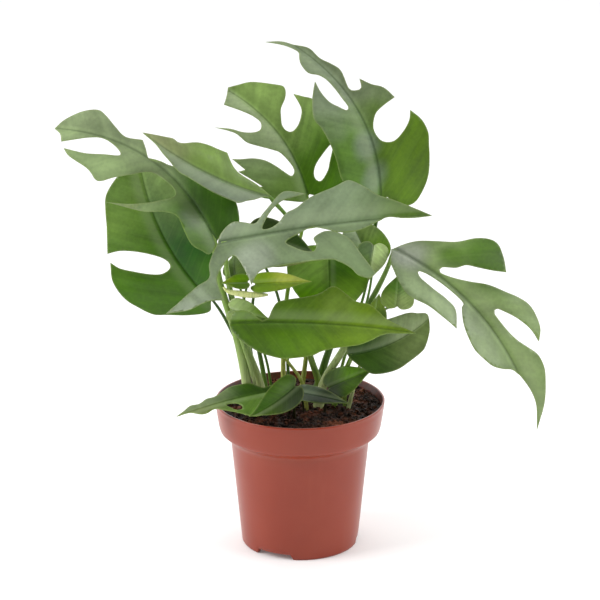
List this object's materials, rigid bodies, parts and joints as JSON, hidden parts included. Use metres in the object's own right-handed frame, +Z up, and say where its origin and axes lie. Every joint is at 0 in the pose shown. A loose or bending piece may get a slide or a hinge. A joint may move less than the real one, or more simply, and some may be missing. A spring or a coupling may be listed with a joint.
{
  "type": "potted monstera plant",
  "caption": "Young potted monstera with split and heart-shaped leaves on slender stalks, in a round terracotta-coloured nursery pot.",
  "frame": {"origin": "centre of the object's box in X and Y, on the surface that the pot stands on; the pot's axis is within 1 mm of it", "axes": "+Z up along the pot's axis, +X to the plant's right as seen from the front, -Y towards the front"},
  "size_m": [0.3372, 0.1678, 0.3599],
  "materials": {
    "pot_plastic": "satin injection-moulded, terracotta red",
    "peat": "damp coarse peat and coir, dark brown",
    "leaf_greyed": "waxy leaf with a grey-blue sheen on mid green",
    "leaf_deep": "satin leaf, deep green",
    "leaf_bright": "satin leaf, fresh mid green",
    "leaf_lime": "glossy young leaf, lime green",
    "leaf_stalk": "satin stalk, pale to mid green"
  },
  "bodies": {
    "root": {"pot": "pot_plastic", "soil": "peat", "leaf_upper_left": "leaf_greyed", "leaf_lower_left": "leaf_deep", "leaf_long_left": "leaf_greyed", "leaf_top_centre": "leaf_bright", "leaf_top_right": "leaf_bright", "leaf_centre": "leaf_greyed", "leaf_right": "leaf_greyed", "leaf_front": "leaf_bright", "leaf_round_right": "leaf_deep", "leaf_over_rim": "leaf_deep", "leaf_front_low": "leaf_bright", "leaf_behind_centre": "leaf_deep", "leaf_shaded": "leaf_deep", "leaf_back_right": "leaf_deep", "leaf_under_right": "leaf_deep", "leaf_dark_left": "leaf_deep", "leaf_small_grey": "leaf_greyed", "leaf_small_yellow": "leaf_lime", "leaf_small_left": "leaf_greyed", "leaf_low_right": "leaf_deep", "leaf_on_soil": "leaf_greyed", "new_leaf_right": "leaf_lime", "new_leaf_left": "leaf_lime", "stalk_upper_left": "leaf_stalk", "stalk_lower_left": "leaf_stalk", "stalk_long_left": "leaf_stalk", "stalk_top_centre": "leaf_stalk", "stalk_top_right": "leaf_stalk", "stalk_centre": "leaf_stalk", "stalk_right": "leaf_stalk", "stalk_front": "leaf_stalk", "stalk_round_right": "leaf_stalk", "stalk_over_rim": "leaf_stalk", "stalk_front_low": "leaf_stalk", "stalk_behind_centre": "leaf_stalk", "stalk_shaded": "leaf_stalk", "stalk_back_right": "leaf_stalk", "stalk_under_right": "leaf_stalk", "stalk_dark_left": "leaf_stalk", "stalk_small_grey": "leaf_stalk", "stalk_small_yellow": "leaf_stalk", "stalk_small_left": "leaf_stalk", "stalk_low_right": "leaf_stalk", "stalk_on_soil": "leaf_stalk", "new_stalk_right": "leaf_stalk", "new_stalk_left": "leaf_stalk"}
  },
  "joints": []
}
